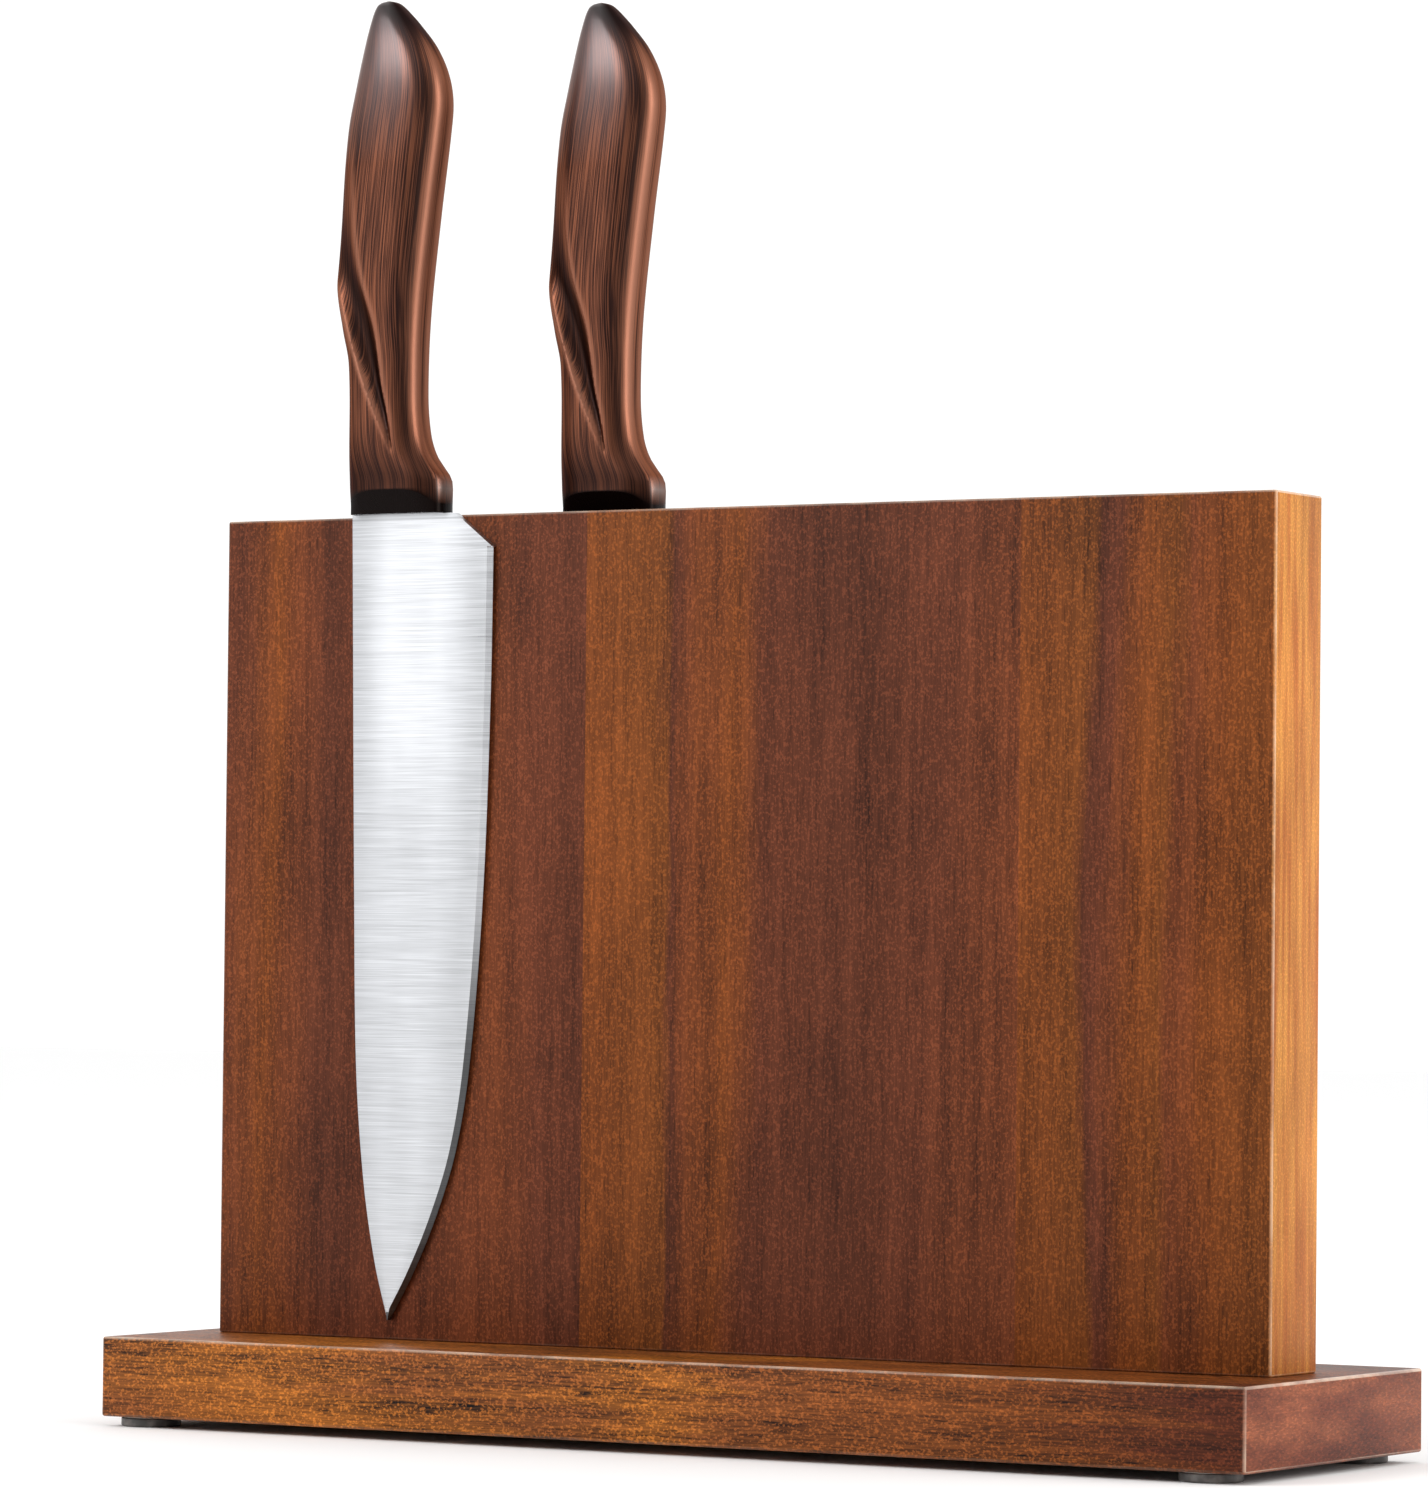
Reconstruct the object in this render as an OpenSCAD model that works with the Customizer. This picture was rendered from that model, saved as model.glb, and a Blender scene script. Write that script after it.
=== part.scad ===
// Free-standing magnetic knife rack: an upright board glued up from staves, with rows of
// magnets sealed between its two plies, standing on a plank with four feet.
// Two knives hang on it, one on each face, with their handles above the board.
// X runs along the board, the front faces -Y, Z is up. The origin is on the surface
// that the feet stand on, under the middle of the base.

/* [Base] */
// Length of the base plank
base_l = 320; // [310:1:360]
// Depth of the base plank, front to back
base_d = 95; // [80:1:140]
// Thickness of the base plank
base_t = 20; // [18:0.5:26]

/* [Board] */
// Length of the board
board_l = 298; // [290:1:306]
// Height of the board
board_h = 207; // [204:1:230]
// Thickness of the board, both plies together
board_t = 24.5; // [24:0.1:30]
// Where the left stave meets the middle one, along X
left_seam = -40.7; // [-50:0.1:-36]
// Where the middle stave meets the right one, along X
right_seam = 81.4; // [76:0.1:84]

/* [Magnets] */
// Wood left in front of each magnet
skin_t = 3; // [2:0.1:3.5]
// Length of one magnet block
magnet_l = 24; // [20:0.5:24]
// Height of one magnet block
magnet_h = 20; // [12:0.5:24]
// Thickness of the steel strip that backs both magnet rows
strip_t = 2.5; // [1.5:0.1:3]
// Distance from one row of magnets to the next
row_pitch = 60; // [40:1:64]

/* [Feet] */
// Diameter of a foot
foot_d = 15; // [12:0.5:16]
// Height of a foot, with its adhesive
foot_h = 2.5; // [2:0.1:5]
// Distance of the left feet's centres from the left end
foot_left = 9; // [8:0.1:30]
// Distance of the right feet's centres from the right end
foot_right = 13; // [8:0.1:30]
// Distance of the feet's centres from the front and back edges
foot_side = 9; // [8:0.1:30]

/* [Knives] */
// Length of the blade, heel to tip
blade_l = 202.4; // [200:0.1:203]
// Thickness of the blade
blade_t = 2; // [1.6:0.1:2.4]
// Length of the handle
handle_l = 130; // [130:0.5:134]
// Where the front knife's spine is, along X
front_spine_x = -109.5; // [-120:0.1:-100]
// Where the back knife's spine is, along X
back_spine_x = -63.1; // [-80:0.1:-40]

/* [Hidden] */

base_top = foot_h + base_t;
board_top = base_top + board_h;
ply_t = board_t / 2;

// Staves: [low X, high X] of the left, middle and right ones.
staves = [[-board_l / 2, left_seam], [left_seam, right_seam], [right_seam, board_l / 2]];

// Magnet pockets, milled from the inner face of each ply.
magnet_pitch = magnet_l + 3;
pocket_h = magnet_h + 2;
pocket_corner_r = 3;
pocket_edge = 12;
magnet_t = ply_t - skin_t - strip_t / 2;
row_upper = base_top + board_h / 2 + row_pitch;
row_middle = base_top + board_h / 2;
row_lower = base_top + board_h / 2 - row_pitch;
rows = [row_upper, row_middle, row_lower];

// Screws and dowels, [X, side of the board], one screw into each stave.
screw_places = [[-115, -1], [0, -1], [100, -1], [-75, 1], [40, 1], [130, 1]];
dowel_places = [[130, -1], [-130, 1]];
screw_d = 4;
screw_head_d = 8;
screw_head_h = 2.2;
screw_sink = 0.6;
screw_l = 48;
screw_tip_h = 3;
screw_clearance = 0.4;
recess_l = 4.6;
recess_w = 1;
recess_depth = 1.5;
dowel_d = 6;
dowel_in_base = 10;
dowel_in_board = 14;
dowel_end_gap = 0.5;

// Feet.
adhesive_t = 0.3;
adhesive_rim = 0.5;
foot_edge = 0.5;

// Knives. The knife's own frame has X = 0 at the spine, Y = 0 at the middle of the
// blade's thickness and Z = 0 where blade and handle meet.
magnet_gap = 0.1;
handle_gap = 0.4;
knife_y = ply_t + magnet_gap + blade_t / 2;
knife_z = board_top + handle_gap;

// Blade outline, [distance below the handle, X].
spine_line = [[0, 0], [97, 1.8], [140, 3], [168, 5.6], [188, 9.2], [blade_l, 13.2]];
edge_line = [[8.6, 42], [47, 41.6], [97, 39.9], [139, 36.4], [160, 32.6], [176, 27.1],
    [190, 20.6], [blade_l, 13.5]];
heel_x = 31;
heel_drop = 8.6;
edge_bevel = 1.3;
edge_t = 0.15;
tang_x = 5;
tang_w = 10;
tang_l = 40;

// Handle outline, [height, X] for the two contours and [height, half thickness].
spine_side = [[0, 0.9], [10, 0.4], [38, -0.1], [47, -2], [58, -3.8], [78, -2.8], [97, -1],
    [108, 1.2], [118, 3.3], [125, 4.9], [128.5, 6], [129.6, 7.1], [handle_l, 8.6]];
edge_side = [[0, 27.9], [6, 28], [9, 27.5], [12, 25.2], [15, 23], [20, 21.2], [30, 20.2],
    [50, 20.7], [75, 23.4], [96, 26.2], [104, 26.8], [111, 25.5], [118, 22.1], [124, 17.3],
    [127, 14.5], [128.8, 12.6], [129.6, 11.3], [handle_l, 9.6]];
half_thick = [[0, 7.5], [12, 7.4], [32, 7.1], [60, 7.9], [95, 7.9], [108, 7.4],
    [118, 6.1], [125, 4.3], [128.5, 2.8], [129.6, 1.7], [handle_l, 0.8]];
section_power = 3;

// The carved valley that winds from the spine side down across each face, between two
// ridges, [height, X] and [height, depth].
upper_ridge = [[16, 16], [24, 14.4], [32, 12.5], [47, 10.1], [62, 5.4], [77, 3.2],
    [110, 1.6]];
lower_ridge = [[10, 19], [17, 14.8], [24, 11.3], [32, 7.5], [40, 4.1], [54, -1.2], [70, -7],
    [110, -16]];
valley_depth = [[14, 0], [20, 0.7], [27, 1.6], [36, 2.2], [47, 2.3], [60, 2], [80, 1.1], [104, 0]];
// The shallow flute beside the rounded corner on the edge side.
flute_in = 1.9;
flute_w = 1.6;
flute_depth = 0.5;

// The handle's end is flat round the blade and slopes up to its front and back.
end_land = 4.1;
end_rim = 2.2;
end_slope = 1.06;
handle_rings = 36;
handle_sides = 34;
hollow_scale = 0.8;
hollow_low = 12;
hollow_high = 118;
hollow_rings = 10;
hollow_sides = 20;
blade_rings = 34;

// Slope at station i of a table of [position, value], for a smooth curve through it.
function slope(table, i) =
    let (last = len(table) - 1, a = max(i - 1, 0), b = min(i + 1, last))
    (table[b][1] - table[a][1]) / (table[b][0] - table[a][0]);

function blend(p, q, m, n, w, t) =
    (2 * t^3 - 3 * t^2 + 1) * p + (t^3 - 2 * t^2 + t) * w * m
    + (3 * t^2 - 2 * t^3) * q + (t^3 - t^2) * w * n;

// Value at a position on the smooth curve through a table's stations.
function along(table, at) =
    let (last = len(table) - 1,
        u = min(max(at, table[0][0]), table[last][0]),
        i = min(last - 1, max([for (k = [0:last]) if (table[k][0] <= u) k])),
        w = table[i + 1][0] - table[i][0])
    blend(table[i][1], table[i + 1][1], slope(table, i), slope(table, i + 1), w,
        (u - table[i][0]) / w);

function limit(v) = min(max(v, 0), 1);

// How far a point of a handle's face is carved in, at side position x and height h.
function carved(x, h) =
    let (low = along(lower_ridge, h), high = along(upper_ridge, h),
        across = limit((x - low) / max(high - low, 0.5)),
        flute_x = along(edge_side, h) - flute_in,
        off = (x - flute_x) / flute_w)
    max(along(valley_depth, h), 0) * sin(180 * across) + flute_depth * exp(-off * off);

// One point of the handle's section: a rounded box, thinned where it is carved.
function handle_point(h, angle, grow = 1) =
    let (lo = along(spine_side, h), hi = along(edge_side, h), b = along(half_thick, h),
        a = (hi - lo) / 2, c = cos(angle), s = sin(angle), n = section_power,
        r = 1 / pow(pow(abs(c) / a, n) + pow(abs(s) / b, n), 1 / n),
        x = (lo + hi) / 2 + r * c * grow, y = r * s * grow)
    [x, y * (1 - carved(x, h) / b * limit(b / 4)), h];

function end_height(y) = end_rim + end_slope * max(abs(y) - end_land, 0);

// Heights of the handle's rings, closer together towards its butt.
function ring_height(i, count, low, high) =
    let (t = i / (count - 1)) low + (high - low) * sin(90 * t) ^ 0.86;

function handle_ring(h, sides, grow = 1) =
    [for (k = [0:sides - 1]) handle_point(h, 360 * k / sides, grow)];

// A closed solid through rings of points, each end fanned to its middle.
module loft(rings) {
    sides = len(rings[0]);
    last = len(rings) - 1;
    function middle(ring) = [for (axis = [0:2]) let (v = [for (p = ring) p[axis]])
        (v * [for (p = v) 1]) / len(v)];
    points = concat([for (ring = rings) each ring], [middle(rings[0]), middle(rings[last])]);
    low = len(points) - 2;
    high = len(points) - 1;
    walls = [for (i = [0:last - 1], k = [0:sides - 1])
        let (a = i * sides + k, b = i * sides + (k + 1) % sides)
        each [[a, a + sides, b], [b, a + sides, b + sides]]];
    ends = [for (k = [0:sides - 1]) let (b = (k + 1) % sides, top = last * sides)
        each [[low, k, b], [high, top + b, top + k]]];
    polyhedron(points, concat(walls, ends));
}

module rounded_slot(w, h, r) {
    square([w - 2 * r, h], center = true);
    square([w, h - 2 * r], center = true);
    for (x = [-1, 1], y = [-1, 1])
        translate([x * (w / 2 - r), y * (h / 2 - r)]) circle(r, $fn = 32);
}

function magnet_count(stave) =
    floor((stave[1] - stave[0] - pocket_edge) / magnet_pitch);
function pocket_l(stave) = magnet_count(stave) * magnet_pitch + 1;
function middle_x(stave) = (stave[0] + stave[1]) / 2;

module screw_hole(place) {
    translate([place[0], place[1] * ply_t / 2, 0]) {
        translate([0, 0, foot_h - 1])
            cylinder(d = screw_head_d, h = 1 + screw_sink, $fn = 48);
        translate([0, 0, foot_h + screw_sink])
            cylinder(d1 = screw_head_d, d2 = screw_d, h = screw_head_h, $fn = 48);
        translate([0, 0, foot_h])
            cylinder(d = screw_d + screw_clearance, h = base_t + 1, $fn = 48);
    }
}

module base_plank() {
    color([0.58, 0.33, 0.16]) difference() {
        translate([-base_l / 2, -base_d / 2, foot_h]) cube([base_l, base_d, base_t]);
        for (place = screw_places) screw_hole(place);
        for (place = dowel_places)
            translate([place[0], place[1] * ply_t / 2, base_top - dowel_in_base])
                cylinder(d = dowel_d, h = dowel_in_base + 1, $fn = 48);
    }
}

// One stave of one ply, with its magnet pockets, pilot hole and dowel hole.
module stave(index, side) {
    ends = staves[index];
    translate([0, side > 0 ? 0 : -ply_t, 0]) difference() {
        translate([ends[0], 0, base_top]) cube([ends[1] - ends[0], ply_t, board_h]);
        translate([0, side > 0 ? 0 : ply_t, 0]) {
            for (z = rows) translate([middle_x(ends), 0, z]) rotate([90, 0, 0])
                linear_extrude(2 * (ply_t - skin_t), center = true)
                    rounded_slot(pocket_l(ends), pocket_h, pocket_corner_r);
            for (place = screw_places)
                if (place[1] == side)
                    translate([place[0], side * ply_t / 2, base_top - 1]) {
                        tip = foot_h + screw_sink + screw_l - base_top + 1;
                        cylinder(d = screw_d, h = tip - screw_tip_h, $fn = 48);
                        translate([0, 0, tip - screw_tip_h])
                            cylinder(d1 = screw_d, d2 = 0, h = screw_tip_h, $fn = 48);
                    }
            for (place = dowel_places)
                if (place[1] == side)
                    translate([place[0], side * ply_t / 2, base_top - 1])
                        cylinder(d = dowel_d, h = dowel_in_board + 1, $fn = 48);
        }
    }
}

module front_stave_left() { color([0.50, 0.29, 0.20]) stave(0, -1); }
module front_stave_middle() { color([0.46, 0.26, 0.18]) stave(1, -1); }
module front_stave_right() { color([0.49, 0.28, 0.18]) stave(2, -1); }
module back_stave_left() { color([0.48, 0.28, 0.19]) stave(0, 1); }
module back_stave_middle() { color([0.51, 0.29, 0.18]) stave(1, 1); }
module back_stave_right() { color([0.45, 0.26, 0.18]) stave(2, 1); }

// The blocks of one row, side by side in each stave's pocket.
module magnet_row(z, side) {
    color([0.35, 0.35, 0.37])
        for (ends = staves, k = [0:magnet_count(ends) - 1])
            translate([middle_x(ends) + (k - (magnet_count(ends) - 1) / 2) * magnet_pitch,
                    side * (strip_t / 2 + magnet_t / 2), z])
                cube([magnet_l, magnet_t, magnet_h], center = true);
}

module front_magnets_upper() { magnet_row(row_upper, -1); }
module front_magnets_middle() { magnet_row(row_middle, -1); }
module front_magnets_lower() { magnet_row(row_lower, -1); }
module back_magnets_upper() { magnet_row(row_upper, 1); }
module back_magnets_middle() { magnet_row(row_middle, 1); }
module back_magnets_lower() { magnet_row(row_lower, 1); }

// The steel strips of one row, shared by the magnets in front and behind.
module strip_row(z) {
    color([0.62, 0.63, 0.65])
        for (ends = staves) translate([middle_x(ends), 0, z])
            cube([pocket_l(ends) - 2, strip_t, magnet_h], center = true);
}

module steel_strips_upper() { strip_row(row_upper); }
module steel_strips_middle() { strip_row(row_middle); }
module steel_strips_lower() { strip_row(row_lower); }

module screw() {
    difference() {
        union() {
            cylinder(d1 = screw_head_d, d2 = screw_d, h = screw_head_h, $fn = 48);
            translate([0, 0, screw_head_h])
                cylinder(d = screw_d, h = screw_l - screw_head_h - screw_tip_h, $fn = 48);
            translate([0, 0, screw_l - screw_tip_h])
                cylinder(d1 = screw_d, d2 = 0, h = screw_tip_h, $fn = 48);
        }
        for (turn = [0, 90]) rotate([0, 0, turn])
            cube([recess_l, recess_w, 2 * recess_depth], center = true);
    }
}

module assembly_screws() {
    color([0.70, 0.66, 0.48])
        for (place = screw_places)
            translate([place[0], place[1] * ply_t / 2, foot_h + screw_sink]) screw();
}

module dowels() {
    length = dowel_in_base + dowel_in_board - 2 * dowel_end_gap;
    color([0.80, 0.66, 0.46])
        for (place = dowel_places)
            translate([place[0], place[1] * ply_t / 2,
                    base_top - dowel_in_base + dowel_end_gap])
                cylinder(d = dowel_d, h = length, $fn = 48);
}

function foot_x(side) = side < 0 ? -base_l / 2 + foot_left : base_l / 2 - foot_right;
function foot_y(side) = side * (base_d / 2 - foot_side);

module foot(x_side, y_side) {
    r = foot_d / 2;
    top = foot_h - adhesive_t;
    color([0.20, 0.19, 0.19]) translate([foot_x(x_side), foot_y(y_side), 0])
        rotate_extrude($fn = 64)
            polygon([[0, 0], [r - foot_edge, 0], [r, foot_edge], [r, top], [0, top]]);
}

module foot_front_left() { foot(-1, -1); }
module foot_front_right() { foot(1, -1); }
module foot_back_left() { foot(-1, 1); }
module foot_back_right() { foot(1, 1); }

module foot_adhesive_discs() {
    color([0.85, 0.85, 0.82])
        for (x_side = [-1, 1], y_side = [-1, 1])
            translate([foot_x(x_side), foot_y(y_side), foot_h - adhesive_t])
                cylinder(d = foot_d - 2 * adhesive_rim, h = adhesive_t, $fn = 64);
}

// One ring of the blade, at a distance below the handle. The heel's slope is blunt and
// the rest of the edge is ground to a bevel on both sides.
function blade_ring(drop, sharp) =
    let (s = along(spine_line, drop),
        e = drop <= heel_drop ? heel_x + (edge_line[0][1] - heel_x) * drop / heel_drop
            : along(edge_line, drop),
        w = min(edge_bevel, (e - s) * 0.45), t = blade_t / 2,
        g = sharp ? edge_t / 2 : t)
    [[s, -t, -drop], [e - w, -t, -drop], [e, -g, -drop],
        [e, g, -drop], [e - w, t, -drop], [s, t, -drop]];

module blade() {
    below = heel_drop + 0.4;
    drops = [for (i = [0:blade_rings]) below + (blade_l - below) * sin(90 * i / blade_rings)];
    rings = concat([for (i = [blade_rings:-1:0]) blade_ring(drops[i], true)],
        [blade_ring(heel_drop, false), blade_ring(0, false)]);
    color([0.82, 0.83, 0.85]) union() {
        loft(rings);
        translate([tang_x, -blade_t / 2, -1]) cube([tang_w, blade_t, tang_l + 1]);
    }
}

module handle() {
    foot_ring = handle_ring(0, handle_sides);
    land = [for (p = foot_ring) [p[0], max(-end_land, min(end_land, p[1])), 0]];
    rim = [for (p = foot_ring) [p[0], p[1], end_height(p[1])]];
    start = end_height(half_thick[0][1]) + 1;
    body = [for (i = [0:handle_rings - 1])
        handle_ring(ring_height(i, handle_rings, start, handle_l), handle_sides)];
    hollow = [for (i = [0:hollow_rings - 1])
        handle_ring(hollow_low + (hollow_high - hollow_low) * i / (hollow_rings - 1),
            hollow_sides, hollow_scale)];
    color([0.42, 0.25, 0.19]) difference() {
        loft(concat([land, rim], body));
        loft(hollow);
        translate([tang_x, -blade_t / 2, -1]) cube([tang_w, blade_t, hollow_low + 2]);
    }
}

module front_place() { translate([front_spine_x, -knife_y, knife_z]) children(); }
module back_place() { translate([back_spine_x, knife_y, knife_z]) children(); }

module front_blade() { front_place() blade(); }
module front_handle() { front_place() handle(); }
module back_blade() { back_place() blade(); }
module back_handle() { back_place() handle(); }

base_plank();
front_stave_left();
front_stave_middle();
front_stave_right();
back_stave_left();
back_stave_middle();
back_stave_right();
front_magnets_upper();
front_magnets_middle();
front_magnets_lower();
back_magnets_upper();
back_magnets_middle();
back_magnets_lower();
steel_strips_upper();
steel_strips_middle();
steel_strips_lower();
assembly_screws();
dowels();
foot_front_left();
foot_front_right();
foot_back_left();
foot_back_right();
foot_adhesive_discs();
front_blade();
front_handle();
back_blade();
back_handle();
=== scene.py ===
# %% [markdown]
# # A magnetic knife rack
# An upright wooden board on a plank base holds knives by magnets sealed inside it. The solid
# model comes ready made, at its real size in metres, with every piece named. These cells give
# each visible piece its eased edges, its fine shape and its finish.

# %% Load the model
import math

import bmesh
import bpy
import numpy as np
from mathutils import Matrix, Vector


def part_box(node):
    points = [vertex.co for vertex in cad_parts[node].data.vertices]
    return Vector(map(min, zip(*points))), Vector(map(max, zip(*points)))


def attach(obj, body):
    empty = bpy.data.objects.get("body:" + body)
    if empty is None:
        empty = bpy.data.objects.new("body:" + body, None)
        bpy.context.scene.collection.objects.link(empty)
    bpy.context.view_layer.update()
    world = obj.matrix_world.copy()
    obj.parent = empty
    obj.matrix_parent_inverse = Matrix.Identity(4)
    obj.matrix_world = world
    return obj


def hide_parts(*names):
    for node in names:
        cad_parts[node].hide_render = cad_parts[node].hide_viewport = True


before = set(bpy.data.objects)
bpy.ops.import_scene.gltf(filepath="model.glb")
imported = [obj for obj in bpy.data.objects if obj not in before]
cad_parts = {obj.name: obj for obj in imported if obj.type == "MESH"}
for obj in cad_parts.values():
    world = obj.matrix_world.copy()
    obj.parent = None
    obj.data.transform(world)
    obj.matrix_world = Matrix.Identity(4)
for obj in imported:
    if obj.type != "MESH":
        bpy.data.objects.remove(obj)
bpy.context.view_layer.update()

MM = 0.001

# %% [markdown]
# ## Where things are
# The places below are read from the model, so nothing is typed twice. Each knife could be
# drawn in place, but both are of one pattern. So a knife is drawn in a frame of its own and
# then moved. Zero there is at the spine, in the middle of the blade's thickness, where blade
# and handle meet.

# %% Places read from the model
BASE_LOW, BASE_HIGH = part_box("base_plank")
BOARD_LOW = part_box("front_stave_left")[0]
BOARD_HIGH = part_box("back_stave_right")[1]
LEFT_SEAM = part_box("front_stave_left")[1].x
RIGHT_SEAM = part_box("front_stave_right")[0].x
BLADE_LOW, BLADE_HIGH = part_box("front_blade")
HANDLE_LOW, HANDLE_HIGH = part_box("front_handle")
BLADE_L = (HANDLE_LOW.z - BLADE_LOW.z) / MM
BLADE_T = (BLADE_HIGH.y - BLADE_LOW.y) / MM
HANDLE_L = (HANDLE_HIGH.z - HANDLE_LOW.z) / MM


def knife_origin(side):
    """The point where a knife's spine, mid-thickness and handle end meet."""
    low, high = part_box(side + "_blade")
    return Vector((low.x, (low.y + high.y) / 2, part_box(side + "_handle")[0].z))


print(f"blade {BLADE_L:.1f} mm, handle {HANDLE_L:.1f} mm")

# %% [markdown]
# ## The camera
# A wide lens close by would make the board's sides lean together. A long lens from a little
# over a metre and a half away keeps them nearly parallel. The camera stands low and to the
# right, looks slightly up, and leans by half a degree, as a hand-held one does.

# %% Camera
LENS_MM = 163.05
CAMERA_DISTANCE = 1.6769
CAMERA_TURN = math.radians(30.93)
CAMERA_RISE = math.radians(1.836)
CAMERA_LEAN = math.radians(0.55)
LOOK_AT = Vector((-0.0108, 0, BASE_HIGH.z + 0.1478))

ahead = Vector((-math.sin(CAMERA_TURN) * math.cos(CAMERA_RISE),
                math.cos(CAMERA_TURN) * math.cos(CAMERA_RISE), math.sin(CAMERA_RISE)))
level = Vector((math.cos(CAMERA_TURN), math.sin(CAMERA_TURN), 0))
upright = level.cross(ahead)
right = math.cos(CAMERA_LEAN) * level + math.sin(CAMERA_LEAN) * upright
up = math.cos(CAMERA_LEAN) * upright - math.sin(CAMERA_LEAN) * level
camera_data = bpy.data.cameras.new("camera")
camera_data.lens = LENS_MM
camera_data.clip_start = 0.05
camera = bpy.data.objects.new("camera", camera_data)
camera.matrix_world = Matrix.Translation(LOOK_AT - CAMERA_DISTANCE * ahead) @ Matrix(
    (right, up, -ahead)).transposed().to_4x4()
bpy.context.scene.collection.objects.link(camera)
bpy.context.scene.camera = camera
print("camera stands at", [round(v, 3) for v in camera.matrix_world.translation])

# %% [markdown]
# ## Writing materials as sums
# A material could be wired node by node, but such code is long and hides the idea. Here Wire
# wraps one output socket, so that `0.4 + 0.1 * streaks` adds its own Math nodes. Nodes holds a
# node tree, and its node method adds any other node: its settings first, then what feeds its
# sockets. Finish is the tree of one material.

# %% Wire
class Wire:
    """One output socket that can be used in sums."""

    def __init__(self, nodes, socket):
        self.nodes = nodes
        self.socket = socket

    def math(self, operation, first, second):
        return self.nodes.node("Math", {"operation": operation}, {0: first, 1: second})

    def __add__(self, other):
        return self.math("ADD", self, other)

    def __radd__(self, other):
        return self.math("ADD", other, self)

    def __sub__(self, other):
        return self.math("SUBTRACT", self, other)

    def __rsub__(self, other):
        return self.math("SUBTRACT", other, self)

    def __mul__(self, other):
        return self.math("MULTIPLY", self, other)

    def __rmul__(self, other):
        return self.math("MULTIPLY", other, self)


print("operators for sums:", [name for name in vars(Wire) if name.startswith("__r")])

# %% Nodes and Finish
class Nodes:
    """A node tree, and the one method that adds nodes to it."""

    def __init__(self, tree, end):
        self.tree = tree
        tree.nodes.clear()
        self.end = tree.nodes.new("ShaderNode" + end)

    def node(self, kind, settings=(), inputs=(), output=0):
        made = self.tree.nodes.new("ShaderNode" + kind)
        for key, value in dict(settings).items():
            if key == "stops":
                self.set_stops(made.color_ramp, value)
            else:
                setattr(made, key, value)
        for key, value in dict(inputs).items():
            if isinstance(value, Wire):
                self.tree.links.new(value.socket, made.inputs[key])
            else:
                made.inputs[key].default_value = value
        return Wire(self, made.outputs[output])

    def set_stops(self, ramp, stops):
        while len(ramp.elements) < len(stops):
            ramp.elements.new(0.5)
        for element, (place, colour) in zip(ramp.elements, sorted(stops)):
            element.position = place
            element.color = colour

    def show(self, shader):
        self.tree.links.new(shader.socket, self.end.inputs["Surface"])


class Finish(Nodes):
    """One material."""

    def __init__(self, name):
        self.material = bpy.data.materials.new(name)
        self.material.use_nodes = True
        super().__init__(self.material.node_tree, "OutputMaterial")

    def surface(self, inputs):
        self.show(self.node("BsdfPrincipled", (), inputs, "BSDF"))
        return self.material


print("what a tree can do:", [name for name in vars(Nodes) if not name.startswith("_")])

# %% [markdown]
# ## Short names
# Every finish on this rack is made from the same few moves: take the place on the object,
# stretch it, look up noise there, and blend two colours by the result. A short name for each
# move makes a finish read like a recipe. Object coordinates are used and not UV maps, because
# grain then runs through a piece in real millimetres, round corners as well.

# %% Short names for the nodes used most
SKIN_DEPTH = 0.05 * MM


def place_of(finish):
    """Where a point is on the object, in metres."""
    return finish.node("TexCoord", (), (), "Object")


def stretched(finish, vector, factors):
    """A place with each of its parts multiplied by a factor of its own."""
    return finish.node("VectorMath", {"operation": "MULTIPLY"}, {0: vector, 1: factors})


def cloudy(finish, vector, detail=2.0, roughness=0.5):
    """Noise from 0 to 1 that is 0.5 on average."""
    return finish.node("TexNoise", (), {"Vector": vector, "Scale": 1.0, "Detail": detail,
                                        "Roughness": roughness})


def between(finish, value, low, high):
    """0 below low, 1 above high, and smooth between them."""
    return finish.node("MapRange", {"interpolation_type": "SMOOTHSTEP"},
                       {"Value": value, "From Min": low, "From Max": high})


def mixed(finish, first, second, amount, blend_type="MIX"):
    """Two colours blended: the first where amount is 0, the second where it is 1."""
    return finish.node("Mix", {"data_type": "RGBA", "blend_type": blend_type},
                       {0: amount, 6: first, 7: second}, 2)


def shaded(finish, colour, value):
    """A colour made lighter or darker by a value."""
    grey = finish.node("CombineColor", (), {0: value, 1: value, 2: value})
    return mixed(finish, colour, grey, 1.0, "MULTIPLY")


def bumped(finish, height, strength, distance=SKIN_DEPTH):
    """The way the surface faces, tilted as if height were carved into it."""
    return finish.node("Bump", (), {"Height": height, "Strength": strength,
                                    "Distance": distance}, "Normal")


def mesh_value(finish, name):
    """A value that the mesh carries at each of its points or faces."""
    return finish.node("Attribute", {"attribute_name": name}, (), "Fac")


def rgb(red, green, blue):
    """A colour as a paint chart gives it, 0 to 255, turned to the linear values of light."""
    linear = [(c / 255 / 12.92) if c <= 10 else ((c / 255 + 0.055) / 1.055) ** 2.4
              for c in (red, green, blue)]
    return (*linear, 1)


print("middle grey as light:", round(rgb(128, 128, 128)[0], 3))

# %% [markdown]
# ## The studio's floor and room
# Product light is big and soft, and the floor is white paper that runs on out of view. A
# white room could be modelled, but a bright world does the same with less noise. It is
# brightest behind and above. On the camera's side it is darker low down, or the metal would
# mirror white from everywhere and look flat.

# %% Floor and world
FLOOR_SIZE = 12.0
PAPER_WHITE = 0.915
BRIGHT_SIDE = (-0.2, 1.0, 1.2)
DARKEST_AT = -0.9
BRIGHTEST_AT = 0.15
DARKEST = 0.2
BRIGHTEST = 1.12


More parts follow.
